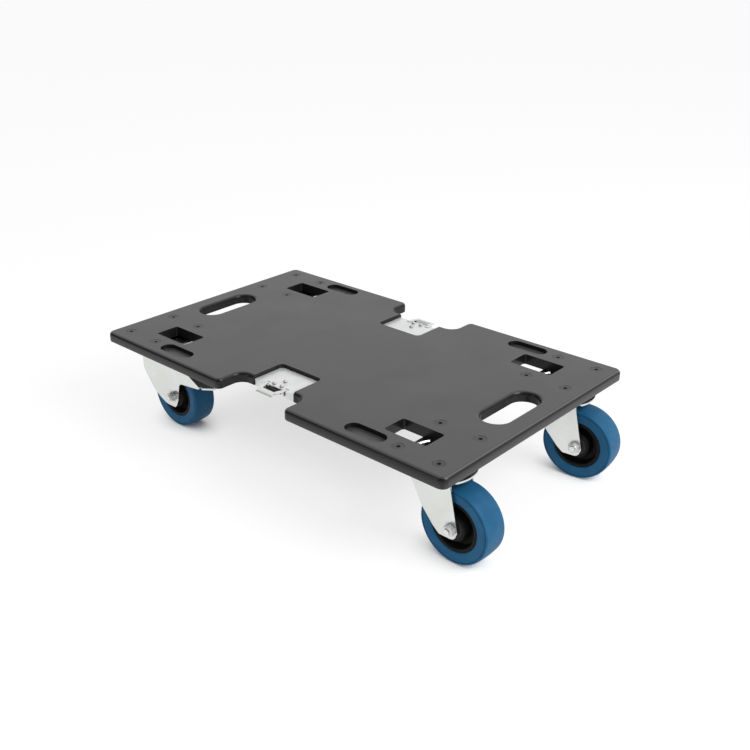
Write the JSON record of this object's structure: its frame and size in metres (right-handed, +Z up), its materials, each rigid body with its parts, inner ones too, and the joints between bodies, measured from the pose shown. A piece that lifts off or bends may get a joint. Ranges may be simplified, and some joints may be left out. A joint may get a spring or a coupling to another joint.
{
  "type": "caster board",
  "caption": "Flat rectangular caster board with hand holes, foot pockets, a draw latch in each long side, and swivel casters with brakes at one end.",
  "frame": {"origin": "centre of the deck's top face", "axes": "+X along the deck towards the casters without brakes, +Y across the deck, +Z up out of its top face"},
  "size_m": [0.6715, 0.4, 0.143],
  "materials": {
    "deck_coating": "satin",
    "black_steel": "satin",
    "zinc": "satin",
    "galvanised": "satin",
    "ball_steel": "polished",
    "seal": "matte",
    "blue_tyre": "matte",
    "black_rim": "satin"
  },
  "bodies": {
    "board": {"deck_board": "deck_coating", "deck_screws": "black_steel", "plate_nuts": "zinc", "king_pins": "zinc", "race_cups": "zinc", "upper_balls": "ball_steel", "lower_balls": "ball_steel", "dust_rings": "seal", "tray_screws": "zinc", "latch_rivets": "zinc", "lever_pins": "zinc", "left_front_top_plate": "zinc", "right_front_top_plate": "zinc", "right_back_top_plate": "zinc", "left_back_top_plate": "zinc", "front_latch_tray": "galvanised", "front_latch_base": "black_steel", "back_latch_tray": "galvanised", "back_latch_base": "black_steel"},
    "left_front_swivel": {"left_front_fork": "zinc", "left_front_axle_bolt": "zinc", "left_front_axle_nut": "zinc", "left_front_axle_sleeve": "zinc", "left_front_pedal_pin": "zinc"},
    "left_front_wheel": {"left_front_rim": "black_rim", "left_front_tyre": "blue_tyre", "left_front_bearings": "zinc"},
    "left_front_brake": {"left_front_brake_pedal": "zinc", "left_front_pedal_spring": "zinc"},
    "right_front_swivel": {"right_front_fork": "zinc", "right_front_axle_bolt": "zinc", "right_front_axle_nut": "zinc", "right_front_axle_sleeve": "zinc"},
    "right_front_wheel": {"right_front_rim": "black_rim", "right_front_tyre": "blue_tyre", "right_front_bearings": "zinc"},
    "right_back_swivel": {"right_back_fork": "zinc", "right_back_axle_bolt": "zinc", "right_back_axle_nut": "zinc", "right_back_axle_sleeve": "zinc"},
    "right_back_wheel": {"right_back_rim": "black_rim", "right_back_tyre": "blue_tyre", "right_back_bearings": "zinc"},
    "left_back_swivel": {"left_back_fork": "zinc", "left_back_axle_bolt": "zinc", "left_back_axle_nut": "zinc", "left_back_axle_sleeve": "zinc", "left_back_pedal_pin": "zinc"},
    "left_back_wheel": {"left_back_rim": "black_rim", "left_back_tyre": "blue_tyre", "left_back_bearings": "zinc"},
    "left_back_brake": {"left_back_brake_pedal": "zinc", "left_back_pedal_spring": "zinc"},
    "front_lever": {"front_latch_lever": "galvanised", "front_claw_pin": "zinc"},
    "front_claw": {"front_latch_claw": "black_steel"},
    "back_lever": {"back_latch_lever": "galvanised", "back_claw_pin": "zinc"},
    "back_claw": {"back_latch_claw": "black_steel"}
  },
  "joints": [
    {"name": "left_front_swivel_turn", "type": "hinge", "parent": "board", "child": "left_front_swivel", "pos_m": [-0.263, -0.1345, -0.0225], "axis": [0, 0, 1], "continuous": true},
    {"name": "left_front_wheel_spin", "type": "hinge", "parent": "left_front_swivel", "child": "left_front_wheel", "pos_m": [-0.225, -0.1345, -0.093], "axis": [0, 1, 0], "continuous": true},
    {"name": "left_front_brake_press", "type": "hinge", "parent": "left_front_swivel", "child": "left_front_brake", "pos_m": [-0.206, -0.1345, -0.0335], "axis": [0, 1, 0], "range_deg": [0, 5]},
    {"name": "right_front_swivel_turn", "type": "hinge", "parent": "board", "child": "right_front_swivel", "pos_m": [0.263, -0.1345, -0.0225], "axis": [0, 0, 1], "continuous": true},
    {"name": "right_front_wheel_spin", "type": "hinge", "parent": "right_front_swivel", "child": "right_front_wheel", "pos_m": [0.301, -0.1345, -0.093], "axis": [0, 1, 0], "continuous": true},
    {"name": "right_back_swivel_turn", "type": "hinge", "parent": "board", "child": "right_back_swivel", "pos_m": [0.263, 0.1345, -0.0225], "axis": [0, 0, 1], "continuous": true},
    {"name": "right_back_wheel_spin", "type": "hinge", "parent": "right_back_swivel", "child": "right_back_wheel", "pos_m": [0.30072, 0.13913, -0.093], "axis": [-0.1219, 0.9925, 0], "continuous": true},
    {"name": "left_back_swivel_turn", "type": "hinge", "parent": "board", "child": "left_back_swivel", "pos_m": [-0.263, 0.1345, -0.0225], "axis": [0, 0, 1], "continuous": true},
    {"name": "left_back_wheel_spin", "type": "hinge", "parent": "left_back_swivel", "child": "left_back_wheel", "pos_m": [-0.225, 0.1345, -0.093], "axis": [0, 1, 0], "continuous": true},
    {"name": "left_back_brake_press", "type": "hinge", "parent": "left_back_swivel", "child": "left_back_brake", "pos_m": [-0.206, 0.1345, -0.0335], "axis": [0, 1, 0], "range_deg": [0, 5]},
    {"name": "front_lever_lift", "type": "hinge", "parent": "board", "child": "front_lever", "pos_m": [0, -0.1525, -0.0104], "axis": [-1, 0, 0], "range_deg": [0, 45]},
    {"name": "front_claw_swing", "type": "hinge", "parent": "front_lever", "child": "front_claw", "pos_m": [0, -0.161, -0.0076], "axis": [-1, 0, 0], "range_deg": [0, 90]},
    {"name": "back_lever_lift", "type": "hinge", "parent": "board", "child": "back_lever", "pos_m": [0, 0.1525, -0.0104], "axis": [1, 0, 0], "range_deg": [0, 45]},
    {"name": "back_claw_swing", "type": "hinge", "parent": "back_lever", "child": "back_claw", "pos_m": [0, 0.161, -0.0076], "axis": [1, 0, 0], "range_deg": [0, 90]}
  ]
}
